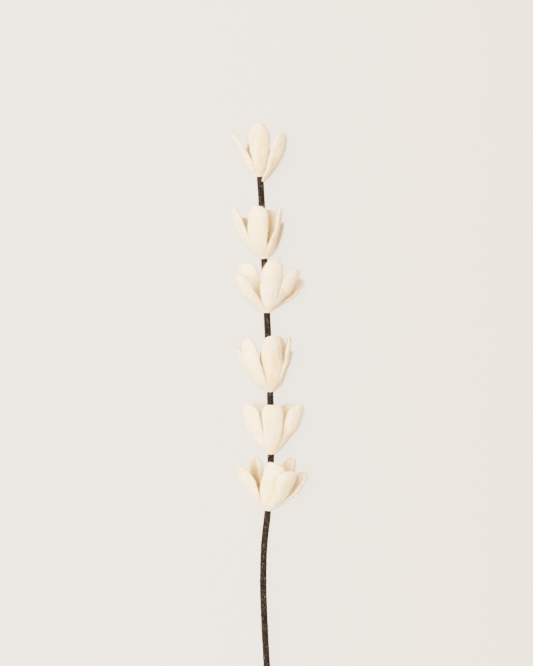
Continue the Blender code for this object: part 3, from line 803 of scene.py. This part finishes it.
# ---- the object -----------------------------------------------------------------
def build():
    felt = felt_material()
    wisps = [fibre_material("wool_fibre_%d" % (i + 1), c) for i, c in enumerate(FIBRE_COLOURS)]
    yarn = twisted("brown_yarn", YARN_DARK, YARN_LIGHT, YARN_SPECK_HIGHLIGHT, 1.7, 0.00012, 0.82, 0.545)
    yarn_wisps = [fibre_material("yarn_fibre_%d" % (i + 1), c) for i, c in enumerate(YARN_FIBRE_COLOURS)]
    steel = steel_material()
    rng = np.random.default_rng(4625)

    for number, blossom in enumerate(BLOSSOMS, 1):
        spray = blossom_frame(blossom["foot_y"])
        roots, normals = [], []
        for order, p in enumerate(blossom["petals"]):
            ob, pts = felt_petal(number, spray, p, 100 * number + 17 * order + 5, settled(spray, p), [felt])
            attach(ob, "root")
            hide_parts("blossom_%d_petal_%s" % (number, p["name"]))
            place, n = sample_grid(pts[6:-1], rng, NAP + FUZZ + STRAY)
            roots.append(place)
            normals.append(n)
        for kind, part, sizes, lie, rise, bends in (
                ("nap", slice(0, NAP), (0.6, 1.6, 0.120), (0.0, 0.9), (0.0, 1.0), 1),
                ("fuzz", slice(NAP, NAP + FUZZ), (1.2, 2.8, 0.090), (0.0, 0.8), (0.0, 1.6), 2),
                ("stray_wool", slice(NAP + FUZZ, None), (1.8, 4.6, 0.060), (0.0, 0.8), (-0.4, 0.9), 4)):
            wool = fibres("blossom_%d_%s" % (number, kind), np.vstack([r[part] for r in roots]),
                          np.vstack([n[part] for n in normals]), rng, *sizes, wisps, lie, rise, bends)
            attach(wool, "root")

    winding, turns = yarn_winding([yarn])
    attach(winding, "root")
    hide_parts("stem_wrap")
    middle = stem_points(3000)
    line = middle[20:-20]
    _, side, up = line_frames(middle)
    pick = rng.integers(0, len(line), YARN_FIBRES)
    a = rng.uniform(0, 2 * np.pi, YARN_FIBRES)[:, None]
    out = side[20:-20][pick] * np.cos(a) + up[20:-20][pick] * np.sin(a)
    fluff = fibres("yarn_stray_fibres", line[pick] + out * (STEM_R - 0.02), out, rng, 0.8, 3.0, 0.060, yarn_wisps,
                   (0.2, 1.0), (-0.2, 0.8), 2)
    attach(fluff, "root")
    core = wire(steel)
    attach(core, "root")
    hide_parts("stem_wire")


# ---- floor, light and camera ------------------------------------------------------
def floor():
    size, at = 40.0, -0.0001
    mesh = bpy.data.meshes.new("floor")
    mesh.from_pydata([(-size, -size, at), (size, -size, at), (size, size, at), (-size, size, at)], [], [(0, 1, 2, 3)])
    ob = bpy.data.objects.new("floor", mesh)
    bpy.context.scene.collection.objects.link(ob)
    n = Nodes("pale_floor")
    parts = n.add("ShaderNodeSeparateXYZ")
    n.tree.links.new(n.place(), parts.inputs[0])
    across = n.add("ShaderNodeMapRange")
    n.put(parts.outputs[0], across.inputs["Value"])
    across.inputs["From Min"].default_value = -0.2
    across.inputs["From Max"].default_value = 0.2
    # painted light falloff across the floor, lighter on the left and darker to the right
    tint = n.mix(across.outputs["Result"], FLOOR_LEFT, FLOOR_RIGHT)
    diffuse = n.add("ShaderNodeBsdfDiffuse")
    glow = n.add("ShaderNodeEmission")
    n.tree.links.new(tint, diffuse.inputs["Color"])
    n.tree.links.new(tint, glow.inputs["Color"])
    glow.inputs["Strength"].default_value = FLOOR_GLOW
    blend = n.add("ShaderNodeMixShader")
    blend.inputs[0].default_value = FLOOR_EVEN
    n.tree.links.new(diffuse.outputs[0], blend.inputs[1])
    n.tree.links.new(glow.outputs[0], blend.inputs[2])
    n.tree.links.new(blend.outputs[0], n.tree.nodes["Material Output"].inputs["Surface"])
    n.tree.nodes.remove(n.shader)
    mesh.materials.append(n.material)


def response(x):
    """Brightness on the picture, 0 to 1, for a brightness x in the scene."""
    full = WHITE_AT ** RESPONSE_POWER
    x = x ** RESPONSE_POWER
    return x / (x + RESPONSE_KNEE) * (full + RESPONSE_KNEE) / full


def light_and_camera():
    scene = bpy.context.scene
    world = bpy.data.worlds.new("soft_studio")
    world.use_nodes = True
    tree = world.node_tree
    sky = tree.nodes["Background"]
    sky.inputs[0].default_value = (*SKY, 1.0)
    # the light comes mostly from overhead and fades towards the horizon
    split = tree.nodes.new("ShaderNodeSeparateXYZ")
    tree.links.new(tree.nodes.new("ShaderNodeTexCoord").outputs["Generated"], split.inputs[0])
    height = tree.nodes.new("ShaderNodeMath")
    height.operation, height.use_clamp = "POWER", True
    tree.links.new(split.outputs[2], height.inputs[0])
    height.inputs[1].default_value = SKY_FOCUS
    level = tree.nodes.new("ShaderNodeMapRange")
    tree.links.new(height.outputs[0], level.inputs["Value"])
    level.inputs["To Min"].default_value = SKY_LEVEL * SKY_RIM
    level.inputs["To Max"].default_value = SKY_LEVEL
    tree.links.new(level.outputs["Result"], sky.inputs[1])
    # a pale wall stands all round, so that a low view has the same quiet ground as the floor
    wall = tree.nodes.new("ShaderNodeBackground")
    wall.inputs[0].default_value = (*WALL, 1.0)
    fade = tree.nodes.new("ShaderNodeMapRange")
    fade.interpolation_type = "SMOOTHSTEP"
    tree.links.new(split.outputs[2], fade.inputs["Value"])
    fade.inputs["From Min"].default_value, fade.inputs["From Max"].default_value = WALL_TOP
    both = tree.nodes.new("ShaderNodeMixShader")
    tree.links.new(fade.outputs["Result"], both.inputs[0])
    tree.links.new(wall.outputs[0], both.inputs[1])
    tree.links.new(sky.outputs[0], both.inputs[2])
    tree.links.new(both.outputs[0], tree.nodes["World Output"].inputs["Surface"])
    scene.world = world
    sun = bpy.data.lights.new("window", "SUN")
    sun.energy = SUN_LEVEL
    sun.angle = math.radians(SUN_ANGLE)
    sun.color = SUN_COLOUR
    lamp = bpy.data.objects.new("window", sun)
    lamp.rotation_euler = (-Vector(SUN_FROM)).to_track_quat("-Z", "Y").to_euler()
    scene.collection.objects.link(lamp)
    camera = bpy.data.cameras.new("camera")
    camera.lens = 85
    camera.sensor_width = 36
    camera.clip_end = 200
    eye = bpy.data.objects.new("camera", camera)
    eye.location = (-0.000925, 0.1205, 1.1984)
    scene.collection.objects.link(eye)
    scene.camera = eye
    view = scene.view_settings
    view.view_transform = "Standard"
    view.look = "None"
    # a camera's response: bright tones are held back, so that white wool keeps its shading
    view.use_curve_mapping = True
    curves = view.curve_mapping
    curves.white_level = (WHITE_AT, WHITE_AT, WHITE_AT)
    for channel, deepen in zip(curves.curves[:3], DEEPEN):
        for x in (0.0, 0.02, 0.05, 0.1, 0.16, 0.24, 0.34, 0.46, 0.6, 0.78, 1.0):
            at = x * WHITE_AT
            y = response(at) * (1 - deepen * (1 - min(1.0, response(at))) ** 2)
            if 0 < x < 1:
                channel.points.new(x, y)
            else:
                channel.points[0 if x == 0 else -1].location = (x, y)
    curves.update()
    scene.cycles.diffuse_bounces = 6
    scene.cycles.max_bounces = 10


build()
floor()
light_and_camera()
